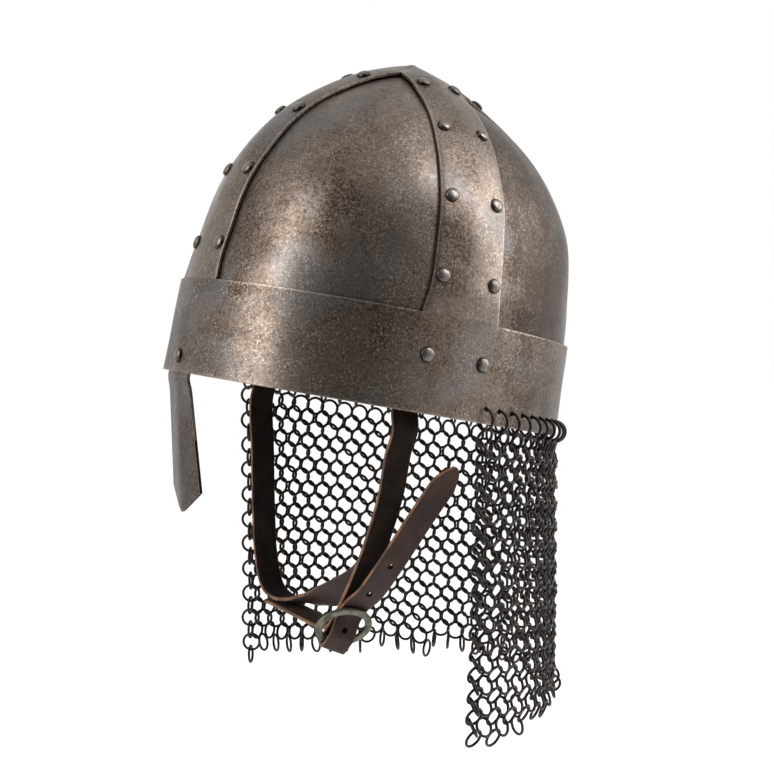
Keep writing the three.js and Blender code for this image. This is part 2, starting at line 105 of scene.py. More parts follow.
def to_world(p):
    """Turns points of the tipped shell into the frame's upright axes."""
    c, s = math.cos(TIP_BACK), math.sin(TIP_BACK)
    p = np.asarray(p, float)
    return np.stack([p[..., 0], c * p[..., 1] - s * p[..., 2], s * p[..., 1] + c * p[..., 2]], -1)


def ripple(p, wavelength, seed):
    """A smooth, gentle unevenness, about -1 to 1, from a few waves in seeded directions."""
    rng = np.random.default_rng(seed)
    total = 0
    waves = 9
    for _ in range(waves):
        direction = unit(rng.normal(size=3))
        length = wavelength * rng.uniform(0.7, 1.4)
        total = total + np.sin(p @ direction * 2 * math.pi / length + rng.uniform(0, 2 * math.pi))
    return total / math.sqrt(waves)


# The outer surface of the shell.
def meridian(level):
    level = np.clip(level, 0, TOP_LEVEL)
    i = np.minimum(level.astype(int), TOP_LEVEL - 1)
    h = (level - i)[..., None]
    slopes = np.gradient(MERIDIAN, axis=0)
    slopes[1] = MERIDIAN[2] - MERIDIAN[1]
    start = slopes[i]
    end = np.where((i == 0)[..., None], slopes[0], slopes[i + 1])
    h2 = h * h
    h3 = h2 * h
    return ((2 * h3 - 3 * h2 + 1) * MERIDIAN[i] + (h3 - 2 * h2 + h) * start
            + (3 * h2 - 2 * h3) * MERIDIAN[i + 1] + (h3 - h2) * end)


def surface(turn, level):
    turn, level = np.broadcast_arrays(np.asarray(turn, float), np.asarray(level, float))
    z, front, side, back = np.moveaxis(meridian(level), -1, 0)
    c = np.cos(turn)
    s = np.sin(turn)
    power = lerp(np.where(c > 0, FRONT_POWER, BACK_POWER), 2, smoothstep(level, 1, 5))
    r = (np.abs(c) ** power + np.abs(s) ** power) ** (-1 / power)
    reach = np.where(c > 0, front, back)
    return np.stack([side * s * r, -reach * c * r + APEX_SHIFT * (level / TOP_LEVEL) ** 4, z], -1)


def normal(turn, level):
    step = 0.002
    low = np.minimum(np.asarray(level, float), TOP_LEVEL - 2 * step)
    across = surface(turn + step, low) - surface(turn - step, low)
    up = surface(turn, low + step) - surface(turn, low)
    return unit(np.cross(across, up))


def turn_at(middle, level, offset):
    """The turn at which the surface lies a given distance to one side of a strip's midline."""
    level, offset = np.broadcast_arrays(np.asarray(level, float), np.asarray(offset, float))
    low = np.full(level.shape, -math.pi / 2)
    high = -low
    shift = APEX_SHIFT * (level / TOP_LEVEL) ** 4
    for _ in range(40):
        mid = (low + high) / 2
        p = surface(middle + mid, level)
        aside = p[..., 0] * math.cos(middle) + (p[..., 1] - shift) * math.sin(middle)
        low = np.where(aside < offset, mid, low)
        high = np.where(aside < offset, high, mid)
    return middle + (low + high) / 2


def mitre_turn(middle, level, sign):
    """The turn of the mitre line between two strips."""
    level = np.asarray(level, float)
    low = np.zeros(level.shape)
    high = np.full(level.shape, math.pi / 2)
    shift = APEX_SHIFT * (level / TOP_LEVEL) ** 4
    for _ in range(40):
        mid = (low + high) / 2
        p = surface(middle + sign * mid, level)
        x = p[..., 0]
        y = p[..., 1] - shift
        aside = x * math.cos(middle) + y * math.sin(middle)
        ahead = x * math.sin(middle) - y * math.cos(middle)
        near = sign * aside + 0.22 < ahead
        low = np.where(near, mid, low)
        high = np.where(near, high, mid)
    return middle + sign * (low + high) / 2


def strip_half(level):
    return np.interp(level, STRIP_LEVELS, STRIP_HALVES)


def strip_edge(middle, level, hand):
    plain = turn_at(middle, level, hand * strip_half(level))
    mitre = mitre_turn(middle, level, hand)
    return np.maximum(plain, mitre) if hand < 0 else np.minimum(plain, mitre)


def inside(turn, level, depth):
    """A point behind the outer surface, with the sheet's slight hand-worked unevenness."""
    p = surface(turn, level)
    depth = np.asarray(depth, float) - 0.13 * ripple(p, 34, 5)
    return p - normal(turn, level) * depth[..., None]


# Making meshes.
def new_object(name, points, faces, materials, uvs=None, values=None):
    """A mesh object from points in millimetres, faces, per-point UVs and per-point named values."""
    if isinstance(faces, np.ndarray):
        faces = faces.tolist()
    mesh = bpy.data.meshes.new(name)
    mesh.from_pydata((np.asarray(points) * MM).tolist(), [], faces)
    for material in materials:
        mesh.materials.append(material)
    loops = np.empty(len(mesh.loops), int)
    mesh.loops.foreach_get("vertex_index", loops)
    if uvs is not None:
        layer = mesh.uv_layers.new(name="UVMap")
        layer.data.foreach_set("uv", (np.asarray(uvs)[loops] * UV_SCALE).ravel())
    for key, value in (values or {}).items():
        attribute = mesh.attributes.new(key, "FLOAT", "POINT")
        attribute.data.foreach_set("value", np.asarray(value, float).ravel())
    mesh.polygons.foreach_set("use_smooth", [True] * len(mesh.polygons))
    mesh.update()
    obj = bpy.data.objects.new(name, mesh)
    bpy.context.scene.collection.objects.link(obj)
    return obj


def grid_faces(rows, columns, start=0):
    i, j = np.meshgrid(np.arange(rows - 1), np.arange(columns - 1), indexing="ij")
    a = (start + i * columns + j).ravel()
    return np.stack([a, a + 1, a + columns + 1, a + columns], 1)


def loop_faces(rows, sides, start=0):
    """Faces between successive closed loops of points."""
    faces = []
    for a in range(start, start + (rows - 1) * sides, sides):
        for k in range(sides):
            n = (k + 1) % sides
            faces.append([a + k, a + n, a + sides + n, a + sides + k])
    return faces


def apply_modifiers(obj):
    """Bakes an object's modifiers into its mesh."""
    depsgraph = bpy.context.evaluated_depsgraph_get()
    depsgraph.update()
    mesh = bpy.data.meshes.new_from_object(obj.evaluated_get(depsgraph), depsgraph=depsgraph)
    old = obj.data
    obj.modifiers.clear()
    obj.data = mesh
    bpy.data.meshes.remove(old)


def smooth_by_angle(obj, degrees):
    """Smooth faces with sharp creases past an angle."""
    mesh = obj.data
    mesh.polygons.foreach_set("use_smooth", [True] * len(mesh.polygons))
    mesh.set_sharp_from_angle(angle=math.radians(degrees))


def add_solidify(obj, thickness):
    modifier = obj.modifiers.new("thickness", "SOLIDIFY")
    modifier.thickness = thickness * MM
    modifier.offset = -1
    modifier.use_even_offset = True
    return modifier


def add_bevel(obj, width, material):
    """Rounds the edges past 50 degrees and gives the rounding its own material slot."""
    modifier = obj.modifiers.new("edges", "BEVEL")
    modifier.width = width * MM
    modifier.segments = 2
    modifier.limit_method = "ANGLE"
    modifier.angle_limit = math.radians(50)
    modifier.material = material


def cut_holes(obj, centres, axes, radius, length):
    """Cuts round holes through a mesh, each along its own axis."""
    sides = 20
    angle = np.arange(sides) * 2 * math.pi / sides
    points = []
    faces = []
    for centre, axis in zip(centres, axes):
        axis = unit(np.asarray(axis, float))
        u = unit(np.cross(axis, (0.13, 0.21, 0.97)))
        v = np.cross(axis, u)
        start = len(points)
        for end in (-0.5, 0.5):
            for a in angle:
                points.append(centre + radius * (math.cos(a) * u + math.sin(a) * v) + axis * end * length)
        faces.extend(loop_faces(2, sides, start))
        faces.append([start + k for k in reversed(range(sides))])
        faces.append([start + sides + k for k in range(sides)])
    mesh = bpy.data.meshes.new("cutter")
    mesh.from_pydata((np.array(points) * MM).tolist(), [], faces)
    cutter = bpy.data.objects.new("cutter", mesh)
    bpy.context.scene.collection.objects.link(cutter)
    modifier = obj.modifiers.new("holes", "BOOLEAN")
    modifier.operation = "DIFFERENCE"
    modifier.solver = "EXACT"
    modifier.object = cutter
    apply_modifiers(obj)
    bpy.data.objects.remove(cutter)
    bpy.data.meshes.remove(mesh)


# Materials: a small kit for building node trees.
class Tree:
    def __init__(self, name):
        self.material = bpy.data.materials.new(name)
        self.material.use_nodes = True
        self.nodes = self.material.node_tree.nodes
        self.links = self.material.node_tree.links
        self.nodes.clear()
        self.output = self.nodes.new("ShaderNodeOutputMaterial")

    def add(self, kind, inputs=None, **settings):
        node = self.nodes.new(kind)
        for key, value in settings.items():
            setattr(node, key, value)
        for key, value in (inputs or {}).items():
            socket = node.inputs[key]
            if isinstance(value, bpy.types.NodeSocket):
                self.links.new(value, socket)
            else:
                socket.default_value = value
        return node

    def coordinates(self, kind, scale):
        """Object or UV coordinates, stretched per axis."""
        coordinates = self.add("ShaderNodeTexCoord")
        mapping = self.add("ShaderNodeMapping", {"Vector": coordinates.outputs[kind], "Scale": scale})
        return mapping.outputs["Vector"]

    def place(self):
        """Object coordinates in millimetres."""
        return self.coordinates("Object", (1 / MM, 1 / MM, 1 / MM))

    def hollow(self, distance, samples):
        """1 in the open, falling towards 0 in crevices narrower than a distance in millimetres."""
        node = self.add("ShaderNodeAmbientOcclusion", {"Distance": distance * MM}, samples=samples)
        return node.outputs["AO"]

    def noise(self, vector, scale, detail=4.0, roughness=0.55, distortion=0.0):
        node = self.add("ShaderNodeTexNoise", {
            "Vector": vector, "Scale": scale, "Detail": detail, "Roughness": roughness,
            "Distortion": distortion,
        })
        return node.outputs["Fac"]

    def span(self, value, low, high, to_low=0.0, to_high=1.0):
        node = self.add("ShaderNodeMapRange", {
            "Value": value, "From Min": low, "From Max": high, "To Min": to_low, "To Max": to_high,
        }, interpolation_type="SMOOTHSTEP")
        return node.outputs["Result"]

    def math(self, operation, a, b=0.0):
        node = self.add("ShaderNodeMath", {0: a, 1: b}, operation=operation)
        return node.outputs[0]

    def blend(self, share, a, b):
        node = self.add("ShaderNodeMix", {"Factor": share}, data_type="RGBA")
        for socket, value in ((node.inputs[6], a), (node.inputs[7], b)):
            if isinstance(value, bpy.types.NodeSocket):
                self.links.new(value, socket)
            else:
                socket.default_value = value
        return node.outputs[2]

    def value(self, name):
        return self.add("ShaderNodeAttribute", attribute_name=name).outputs["Fac"]

    def bump(self, height, strength, distance, below=None):
        inputs = {"Height": height, "Strength": strength, "Distance": distance * MM}
        if below is not None:
            inputs["Normal"] = below
        return self.add("ShaderNodeBump", inputs).outputs["Normal"]

    def finish(self, **inputs):
        shader = self.add("ShaderNodeBsdfPrincipled", {k.replace("_", " "): v for k, v in inputs.items()})
        self.links.new(shader.outputs["BSDF"], self.output.inputs["Surface"])
        return self.material


def rgb(code, gain=1.0):
    """A colour from its sRGB hex code."""
    channels = []
    for shift in (16, 8, 0):
        c = (code >> shift & 255) / 255
        channels.append(gain * (c / 12.92 if c <= 0.04045 else ((c + 0.055) / 1.055) ** 2.4))
    return (*channels, 1.0)


def browned_steel(name, dark, middle, light, brush, speckle=0.5, grime_and_shade=0.75, rough=0.37, edge=None,
                  lines=0.5):
    """Hand-brushed, browned steel. brush stretches the fine scratches along u or v of the UV map."""
    t = Tree(name)
    place = t.place()
    along = t.coordinates("UV", brush)
    cloud = t.noise(place, 0.016, 2.0, 0.5, 0.2)
    patch = t.noise(place, 0.06, 3.0, 0.55, 0.3)
    grain = t.noise(place, 0.42, 2.0, 0.6)
    fine = t.noise(place, 0.95, 2.0, 0.6)
    scratch = t.noise(along, 1.0, 3.0, 0.6)
    streak = t.noise(along, 0.22, 2.0, 0.5)
    tone = 0.5
    for field, weight in ((cloud, 0.3), (patch, 0.26), (streak, lines), (grain, 0.35), (fine, 0.45),
                          (scratch, lines)):
        tone = t.math("ADD", tone, t.math("MULTIPLY", t.math("SUBTRACT", field, 0.5), weight))
    colour = t.blend(t.span(tone, 0.26, 0.52), rgb(dark, 0.8), rgb(middle, 0.76))
    colour = t.blend(t.span(tone, 0.5, 0.74), colour, rgb(light, 0.84))
    # Cooler, greyer areas drift through the brown.
    cool = t.span(t.noise(place, 0.021, 2.0, 0.5, 0.6), 0.5, 0.66, 0.0, 0.4)
    colour = t.blend(cool, colour, rgb(0x5C5D5F))
    # Bare metal shows as fine flecks, crowded together in places.
    crowd = t.span(t.noise(place, 0.05, 3.0, 0.6), 0.44, 0.62, 0.25, 1.0)
    bare = t.math("ADD", fine, t.math("MULTIPLY", scratch, 0.35))
    flecks = t.math("MULTIPLY", t.span(bare, 0.69, 0.86), crowd)
    colour = t.blend(t.math("MULTIPLY", flecks, speckle), colour, rgb(0xA59D97, 1.15))
    # Partly grime, partly painted shade: the colour darkens towards the dark tone in crevices and seams found
    # by the hollow node.
    hollow = t.hollow(3.5, 6)
    colour = t.blend(t.math("MULTIPLY", t.span(hollow, 0.85, 0.4), grime_and_shade), colour, rgb(dark, 0.2))
    # Edges lighten towards the light tone: partly wear, partly a painted highlight.
    if edge is not None:
        rim = t.math("MULTIPLY", t.span(t.value("edge"), 1.3, 0.1), t.span(grain, 0.3, 0.6, 0.35, 1.0))
        colour = t.blend(t.math("MULTIPLY", rim, edge), colour, rgb(light, 1.4))
    roughness = t.math("ADD", t.span(tone, 0.3, 0.7, rough + 0.07, rough - 0.05),
                       t.math("MULTIPLY", t.math("SUBTRACT", fine, 0.5), 0.35))
    bump = t.bump(patch, 0.3, 0.45)
    bump = t.bump(scratch, 0.6, 0.1, bump)
    bump = t.bump(fine, 0.45, 0.06, bump)
    return t.finish(Base_Color=colour, Metallic=0.92, Roughness=roughness, Normal=bump)


def make_materials():
    m = {}
    m["band"] = browned_steel("band_steel_brushed", 0x392C23, 0x6B5F55, 0x988B81, (0.05, 1.1, 1),
                              speckle=0.42, edge=0.3, lines=0.8)
    m["strip"] = browned_steel("strip_steel_brushed", 0x3F342B, 0x73675D, 0xA0948A, (1.1, 0.05, 1),
                               speckle=0.28, edge=0.3, lines=0.85)
    # Lighter steel for the rounded edges: partly wear, partly a painted highlight.
    m["edge"] = browned_steel("steel_worn_edge_and_highlight", 0x544A43, 0x8C827A, 0xBBB2AA, (1, 1, 1),
                              grime_and_shade=0.4, rough=0.34)
    m["plate"] = browned_steel("plate_steel_brushed", 0x352921, 0x675B51, 0x92857B, (1.2, 0.04, 1), grime_and_shade=0.5,
                               speckle=0.2, lines=0.8)
    # Painted shade: a darker copy of the band's steel for the nasal guard.
    m["nasal"] = browned_steel("nasal_steel_painted_shade", 0x2B231D, 0x534840, 0x7D7168, (1.1, 0.06, 1),
                               speckle=0.2, edge=0.3, lines=0.4)
    # Painted shade: a much darker copy of the steel, for the inside of the shell and plates and the sheet's
    # undersides.
    m["inner"] = browned_steel("steel_inside_painted_shade", 0x17110E, 0x2A201B, 0x3F322A, (1, 1, 1), speckle=0.1,
                               rough=0.62)

    t = Tree("rivet_steel_worn")
    place = t.place()
    grain = t.noise(place, 0.9, 4.0, 0.65)
    top = t.math("MULTIPLY", t.span(t.value("crown"), 0.35, 1.0), t.span(grain, 0.3, 0.6, 0.4, 1.0))
    colour = t.blend(t.span(grain, 0.3, 0.7), rgb(0x171310), rgb(0x38322D))
    colour = t.blend(t.math("MULTIPLY", top, 0.7), colour, rgb(0x7D756E))
    # Painted shade: the rivet's colour darkens in crevices found by the hollow node.
    hollow = t.hollow(3, 6)
    colour = t.blend(t.math("MULTIPLY", t.span(hollow, 0.85, 0.4), 0.8), colour, rgb(0x14100E))
    m["rivet"] = t.finish(Base_Color=colour, Metallic=0.9, Roughness=t.span(grain, 0.3, 0.7, 0.44, 0.26),
                          Normal=t.bump(grain, 0.4, 0.2))

    t = Tree("mail_ring_steel")
    place = t.place()
    grain = t.noise(place, 0.8, 3.0, 0.6)
    colour = t.blend(t.span(grain, 0.35, 0.7), rgb(0x120F0D), rgb(0x2B2623))
    colour = t.blend(t.span(t.noise(place, 0.05, 2.0), 0.52, 0.7, 0.0, 0.5), colour, rgb(0x2A1D16))
    m["mail"] = t.finish(Base_Color=colour, Metallic=0.85, Roughness=t.span(grain, 0.3, 0.7, 0.55, 0.35),
                         Normal=t.bump(grain, 0.3, 0.08))

    t = Tree("buckle_dull_pewter")
    place = t.place()
    grain = t.noise(place, 1.4, 5.0, 0.7)
    cloud = t.noise(place, 0.16, 3.0, 0.6)
    colour = t.blend(t.span(cloud, 0.35, 0.65), rgb(0x3A3931), rgb(0x5C5A4F))
    colour = t.blend(t.span(grain, 0.55, 0.75, 0.0, 0.6), colour, rgb(0x87847A))
    colour = t.blend(t.span(grain, 0.4, 0.25, 0.0, 0.7), colour, rgb(0x3F3C36))
    m["buckle"] = t.finish(Base_Color=colour, Metallic=0.85, Roughness=t.span(grain, 0.3, 0.7, 0.5, 0.36),
                           Normal=t.bump(grain, 0.35, 0.1))

    def leather(name, dark, light, rough, crease, gloss):
        t = Tree(name)
        place = t.place()
        along = t.coordinates("UV", (1.2, 0.08, 1))
        pores = t.add("ShaderNodeTexVoronoi", {"Vector": place, "Scale": 1.3, "Randomness": 1.0},
                      feature="DISTANCE_TO_EDGE").outputs["Distance"]
        cloud = t.noise(place, 0.07, 4.0, 0.6, 0.4)
        fibre = t.noise(along, 1.0, 4.0, 0.65)
        shade = t.math("ADD", t.math("MULTIPLY", cloud, 0.7), t.math("MULTIPLY", fibre, 0.3))
        colour = t.blend(t.span(shade, 0.35, 0.65), rgb(dark), rgb(light))
        colour = t.blend(t.span(pores, 0.12, 0.0, 0.0, crease), colour, rgb(dark, 0.45))
        # Painted shade: the leather's colour darkens in crevices found by the hollow node.
        hollow = t.hollow(4, 4)
        colour = t.blend(t.span(hollow, 0.85, 0.35, 0.0, 0.7), colour, rgb(dark, 0.35))
        bump = t.bump(t.span(pores, 0.0, 0.3), 0.35, 0.12)
        bump = t.bump(cloud, 0.3, 0.4, bump)
        return t.finish(Base_Color=colour, Roughness=t.span(shade, 0.3, 0.7, rough - 0.08, rough + 0.1),
                        Specular_IOR_Level=gloss, Normal=bump)

    m["leather"] = leather("strap_leather_brown", 0x1F1310, 0x36251F, 0.62, 0.5, 0.16)
    # The flesh side is rougher; its near-black colour is painted shade for the strap's shadowed inner faces.
    m["flesh"] = leather("strap_flesh_side_painted_shade", 0x070403, 0x1C130C, 0.85, 0.3, 0.08)

    t = Tree("strap_raw_edge")
    place = t.place()
    along = t.coordinates("UV", (1.4, 0.05, 1))
    fibre = t.noise(along, 1.0, 4.0, 0.7)
    cloud = t.noise(place, 0.09, 3.0, 0.6)
    colour = t.blend(t.span(cloud, 0.38, 0.62), rgb(0x38200F), rgb(0x65401F))
    colour = t.blend(t.span(fibre, 0.5, 0.72, 0.0, 0.6), colour, rgb(0x2A170F))
    m["raw"] = t.finish(Base_Color=colour, Roughness=0.8, Normal=t.bump(fibre, 0.5, 0.15))
    return m


MATERIALS = make_materials()


# Shell: band, strips and nasal guard as one welded skin.
SHELL_SLOTS = ("band", "edge", "strip", "inner", "nasal")
EDGE_SLOT = SHELL_SLOTS.index("edge")
SHADED_INSIDE_SLOT = SHELL_SLOTS.index("inner")
FOOT_SPANS = 12
WINDOW_SPANS = 30
NASAL_HALF = 14.8
NASAL_LEAN = 0.225
NASAL_TIP = -78.7
# Rough lengths for the UV maps: the rim's mean reach, and one level of the dome along its surface.
MEAN_REACH = 112
LEVEL_LENGTH = 46


def roof(u):
    """Cross-section of a strip's soft ridge: 1 at the middle, 0 at the edges."""
    soft = 0.22
    return (math.sqrt(1 + soft * soft) - np.sqrt(u * u + soft * soft)) / (math.sqrt(1 + soft * soft) - soft)


def ridge_rise(u, level, front):
    fade = smoothstep(level, 0.7, 2.2)
    if front:
        fade = np.maximum(fade, 0.55)
    return RIDGE * fade * roof(u)


def nasal_grid(top_row, shares):
    """Rows of the nasal guard below the band's lowest row of points."""
    rows = 26
    grid = []
    for k in range(1, rows + 1):
        share = (k / rows) ** 0.95
        end = NASAL_TIP + 14.2 * np.sqrt(shares ** 2 + 0.006)
        z = end * share
        half = np.interp(-z, (0, 12, 64.5, 78.7), (NASAL_HALF, 15.8, 20.8, 20.8))
        sweep = np.interp(-z, (0, 12, 64.5, 78.7), (0.9, 2, 4.2, 4.4))
        soft = np.sqrt(shares ** 2 + 0.03) - math.sqrt(0.03)
        blade = np.stack([
            half * shares,
            -MERIDIAN[0, 1] - 0.5 - NASAL_LEAN * z + sweep * soft,
            z,
        ], -1)
        hang = top_row.copy()
        hang[:, 2] = z
        grid.append(lerp(hang, blade, smoothstep(-z, 0, 9)[:, None]))
    return np.array(grid)


def make_shell():
    points = []
    faces = []
    uvs = []
    edges = []

    def add(p, uv, edge):
        start = sum(len(chunk) for chunk in points)
        points.append(p.reshape(-1, 3))
        uvs.append(uv.reshape(-1, 2))
        edges.append(np.broadcast_to(edge, p.shape[:-1]).ravel())
        return start + np.arange(p[..., 0].size).reshape(p.shape[:-1])

    def stitch(lower, upper):
        """Faces between two rows of point numbers."""
        faces.extend(np.stack([lower[:-1], lower[1:], upper[1:], upper[:-1]], 1).tolist())

    # Columns of the band: a strip's foot, then the window up to the next strip.
    shares = np.linspace(-1, 1, FOOT_SPANS + 1)
    top_turns = []
    rim_turns = []
    foot_shares = []
    for k, side in enumerate(SIDES):
        middle = k * math.pi / 2
        rim_half = NASAL_HALF if side[0] == "front" else strip_half(1)
        foot_top = turn_at(middle, 1.0, shares * strip_half(1))
        foot_rim = turn_at(middle, 0.0, shares * rim_half)
        after = middle + math.pi / 2
        next_rim_half = NASAL_HALF if k == 3 else strip_half(1)
        gap_top = np.linspace(foot_top[-1], float(turn_at(after, 1.0, -strip_half(1))), WINDOW_SPANS + 1)
        gap_rim = np.linspace(foot_rim[-1], float(turn_at(after, 0.0, -next_rim_half)), WINDOW_SPANS + 1)
        top_turns.extend([*foot_top, *gap_top[1:-1]])
        rim_turns.extend([*foot_rim, *gap_rim[1:-1]])
        foot_shares.extend([*shares, *([np.nan] * (WINDOW_SPANS - 1))])
    top_turns = np.array(top_turns)
    rim_turns = np.array(rim_turns)
    foot_shares = np.array(foot_shares)
    count = len(top_turns)
    in_foot = ~np.isnan(foot_shares)
    per_side = FOOT_SPANS + WINDOW_SPANS

    levels = np.array([0, 0.02, 0.07, *np.linspace(0.15, 0.93, 12), 0.98, 1.0])
    turn = lerp(rim_turns[None], top_turns[None], levels[:, None] ** 0.8)
    level = np.broadcast_to(levels[:, None], turn.shape)
    front_rise = ridge_rise(np.clip(np.nan_to_num(foot_shares, nan=1.0), -1, 1), levels[:, None], True)
    side_rise = ridge_rise(np.nan_to_num(foot_shares, nan=1.0), levels[:, None], False)
    is_front = np.arange(count) < FOOT_SPANS + 1
    rise = np.where(is_front[None], front_rise, side_rise)
    p = inside(turn, level, -rise)
    uv = np.stack([turn * MEAN_REACH, level * BAND_HEIGHT], -1)
    to_rim = level * BAND_HEIGHT
    to_top = np.where(in_foot[None], 99, (1 - level) * BAND_HEIGHT)
    band = add(p, uv, np.minimum(np.where(is_front[None], 99, to_rim), to_top))
    ring = np.concatenate([np.arange(count), [0]])
    for k in range(len(levels) - 1):
        stitch(band[k][ring], band[k + 1][ring])

    # Strips rising from the band's feet to the mitres.
    strip_levels = np.concatenate([np.linspace(1, 5.2, 70)[1:], np.linspace(5.2, 5.985, 20)[1:]])
    for k, side in enumerate(SIDES):
        middle = k * math.pi / 2
        low = strip_edge(middle, strip_levels, -1)[:, None]
        high = strip_edge(middle, strip_levels, 1)[:, None]
        turn = lerp(low, high, (shares[None] + 1) / 2)
        level = np.broadcast_to(strip_levels[:, None], turn.shape)
        rise = ridge_rise(shares[None], level, side[0] == "front") * (1 - 0.8 * smoothstep(level, 5.6, 6))
        p = inside(turn, level, -rise)
        half = strip_half(strip_levels)[:, None]
        height = BAND_HEIGHT + (level - 1) * LEVEL_LENGTH
        uv = np.stack([shares[None] * half + 0 * level + k * 300, height], -1)
        edge = (1 - np.abs(shares[None])) * half + 0 * level
        strip = add(p, uv, edge)
        foot = band[-1][k * per_side + np.arange(FOOT_SPANS + 1)]
        stitch(foot, strip[0])
        for i in range(len(strip_levels) - 1):
            stitch(strip[i], strip[i + 1])

    # Nasal guard, running down from the band's front columns.
    rim_row = band[0][np.arange(FOOT_SPANS + 1)]
    all_points = np.concatenate(points)
    grid = nasal_grid(all_points[rim_row], shares)
    uv = np.stack([grid[..., 0] + 900, grid[..., 2]], -1)
    edge = (1 - np.abs(shares[None])) * 18 + 0 * grid[..., 0]
    nasal = add(grid, uv, edge)
    stitch(nasal[0], rim_row)
    for i in range(len(grid) - 1):
        stitch(nasal[i + 1], nasal[i])

    all_points = np.concatenate(points)
    materials = [MATERIALS[key] for key in SHELL_SLOTS]
    shell = new_object("frame_skin", to_world(all_points), faces, materials, np.concatenate(uvs),
                       {"edge": np.minimum(np.concatenate(edges), 12)})
    corners = np.array(faces)
    index = np.where(corners.min(1) >= band[-1, 0], SHELL_SLOTS.index("strip"), 0)
    # The nasal guard's faces take that darker steel, painted shade.
    index = np.where(corners.max(1) >= nasal[0, 0], SHELL_SLOTS.index("nasal"), index)
    shell.data.polygons.foreach_set("material_index", index.astype(int))
    add_solidify(shell, SHEET)
    # The rounding takes the lighter edge steel, partly wear and partly a painted highlight.
    add_bevel(shell, 0.32, EDGE_SLOT)
    apply_modifiers(shell)
    return shell


def rim_stations(from_degrees, to_degrees, count):
    """Turns evenly spaced along the rim, round the nape."""
    turns = np.linspace(math.radians(from_degrees), math.radians(to_degrees + 360), 1200)
    p = surface(turns, 0.0)
    lengths = np.concatenate([[0], np.cumsum(np.linalg.norm(np.diff(p, axis=0), axis=1))])
    return np.interp(np.linspace(0, lengths[-1], count), lengths, turns)


hanger_turns = rim_stations(101.5, -75, HANGERS)
hole_level = RING_HOLE_HEIGHT / BAND_HEIGHT


def finish_shell(shell):
    centres = to_world(surface(hanger_turns, hole_level))
    axes = to_world(normal(hanger_turns, hole_level))
    cut_holes(shell, centres, axes, HOLE_RADIUS, 12)
    # Faces that look inwards get the dark inside steel, painted shade for the shadowed inside.
    mesh = shell.data
    count = len(mesh.polygons)
    centre = np.empty(count * 3)
    direction = np.empty(count * 3)
    mesh.polygons.foreach_get("center", centre)
    mesh.polygons.foreach_get("normal", direction)
    index = np.empty(count, int)
    mesh.polygons.foreach_get("material_index", index)
    centre = centre.reshape(-1, 3) / MM
    direction = direction.reshape(-1, 3)
    away = centre * (1, 1, 0.6) + (0, 0, -20)
    inner = (direction * unit(away)).sum(1) < -0.35
    # The sheet's own thickness, seen under the band and beside the nasal guard, gets the same painted shade.
    under = direction[:, 2] < -0.75
    beside = (centre[:, 2] < -15) & (np.abs(direction[:, 0]) > 0.6)
    index[(inner | under | beside) & (index != EDGE_SLOT)] = SHADED_INSIDE_SLOT
    mesh.polygons.foreach_set("material_index", index)
    smooth_by_angle(shell, 38)


def make_plate(front, flank):
    """One segment plate, tucked behind two strips and the band."""
    a = SIDES[front]
    b = SIDES[flank]
    lean = math.copysign(1, math.sin(b[1]))
    ahead = lean if front == 0 else -lean
    levels = np.concatenate([np.linspace(0.35, 1.0, 8), np.linspace(1.03, 5.65, 62)])
    start = turn_at(a[1], levels, ahead * 4.0)
    end = turn_at(b[1], levels, -ahead * 4.0)
    if ahead > 0:
        end = np.where(end < start, end + 2 * math.pi, end)
    else:
        end = np.where(end > start, end - 2 * math.pi, end)
    low = np.minimum(start, end)[:, None]
    high = np.maximum(start, end)[:, None]
    share = np.linspace(0, 1, 45)[None]
    turn = lerp(low, high, share)
    level = np.broadcast_to(levels[:, None], turn.shape)
    depth = SHEET + SEAT + 0.7 * smoothstep(level, 4, 5.2)
    p = inside(turn, level, depth)
    width = (high - low) * 95 * np.cos(np.clip((level - 1) / 5, 0, 1) * 1.3)
    height = BAND_HEIGHT + (level - 1) * LEVEL_LENGTH
    uv = np.stack([(share - 0.5) * width + front * 400 + flank * 90, height], -1)
    name = f"plate_{a[0]}_{b[0]}"
    obj = new_object(name + "_sheet", to_world(p).reshape(-1, 3), grid_faces(*turn.shape),
                     [MATERIALS["plate"], MATERIALS["inner"]], uv.reshape(-1, 2))
    # The plate's inner face takes the dark inside steel, painted shade.
    add_solidify(obj, PLATE).material_offset = 1
    apply_modifiers(obj)
    smooth_by_angle(obj, 40)
    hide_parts(name)
    return obj


# Rivets: a domed head outside, a shank and a small peened end inside.
def make_rivet(name, point, axis, reach, seed):
    rng = np.random.default_rng(seed)
    head = 4.05 + rng.uniform(-0.12, 0.12)
    rise = 2.15 + rng.uniform(-0.12, 0.12)
    arc = np.linspace(0, 1, 9)
    profile = [(head * math.cos(a * math.pi / 2) ** 0.86 if a < 1 else 0.0,
                0.12 + 0.28 + (rise - 0.28) * math.sin(a * math.pi / 2)) for a in arc]
    outer = [(1.6, 0.1), (head * 0.93, 0.06), (head, 0.2), *profile]
    inner = [(1.6, -reach + 1.5), (2.9, -reach + 1.5), (3.1, -reach + 1.0), (2.5, -reach + 0.35), (0, -reach)]
    rows = list(reversed(inner)) + outer
    sides = 24
    angle = np.arange(sides) * 2 * math.pi / sides
    axis = unit(axis + rng.normal(0, 0.018, 3))
    u = unit(np.cross(axis, (0, 0.02, 1)))
    v = np.cross(axis, u)
    points = []
    crown = []
    for radius, height in rows:
        for a in angle:
            wobble = 1 + 0.02 * math.sin(2 * a + seed) + 0.012 * math.sin(5 * a + seed)
            side = radius * wobble * (math.cos(a) * u + math.sin(a) * v)
            points.append(point + side + axis * height)
            crown.append(np.clip((height - 0.3) / (rise - 0.3), 0, 1))
    obj = new_object(name + "_domed", to_world(np.array(points)), loop_faces(len(rows), sides),
                     [MATERIALS["rivet"]], None, {"crown": crown})
    weld = obj.modifiers.new("weld", "WELD")
    weld.merge_threshold = 0.01 * MM
    apply_modifiers(obj)
    smooth_by_angle(obj, 50)
    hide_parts(name)
    return obj


